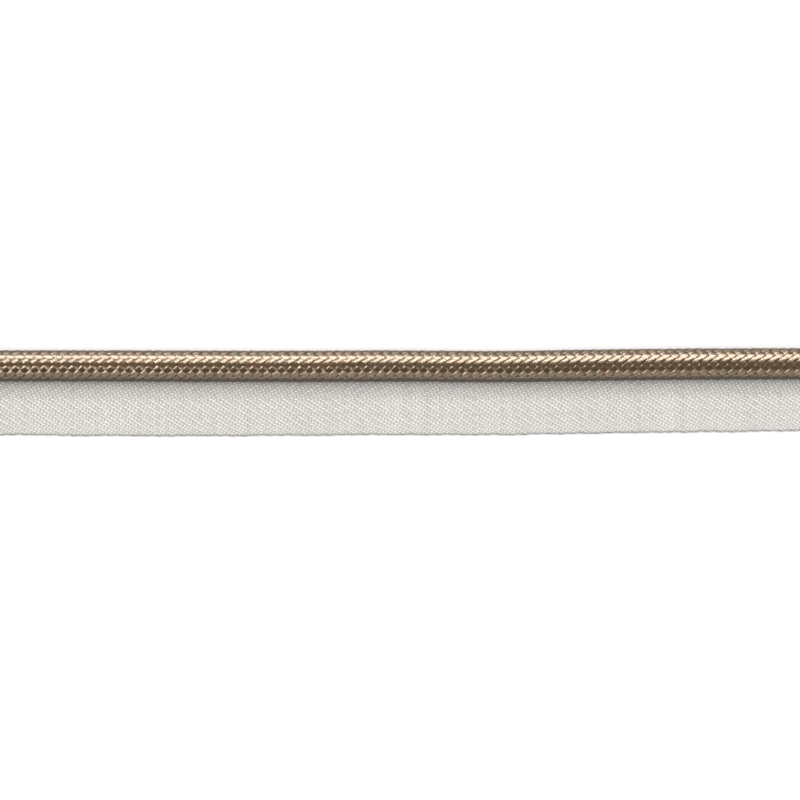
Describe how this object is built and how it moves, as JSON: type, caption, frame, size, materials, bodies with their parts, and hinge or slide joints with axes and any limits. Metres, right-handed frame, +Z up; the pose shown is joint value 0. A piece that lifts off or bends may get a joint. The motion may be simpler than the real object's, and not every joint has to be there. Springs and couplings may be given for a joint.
{
  "type": "cut length of braided lip cord",
  "caption": "Round satin cord in a plain braid, one yarn over and one under, seated on the edge of a flat woven herringbone tape that forms the lip to be sewn into a seam; a straight cut length.",
  "frame": {"origin": "bottom centre of the whole part's box, on the surface that the tape lies on", "axes": "+X along the cord, +Y from the tape's outer edge towards the cord, +Z up from the surface"},
  "size_m": [0.18, 0.0176, 0.0076],
  "materials": {
    "cord_yarn": "satin tan and gold braided filament yarn",
    "tape_weave": "matt off-white cotton in a fine herringbone twill"
  },
  "bodies": {
    "root": {"braided_cord": "cord_yarn", "lip_tape": "tape_weave"}
  },
  "joints": []
}
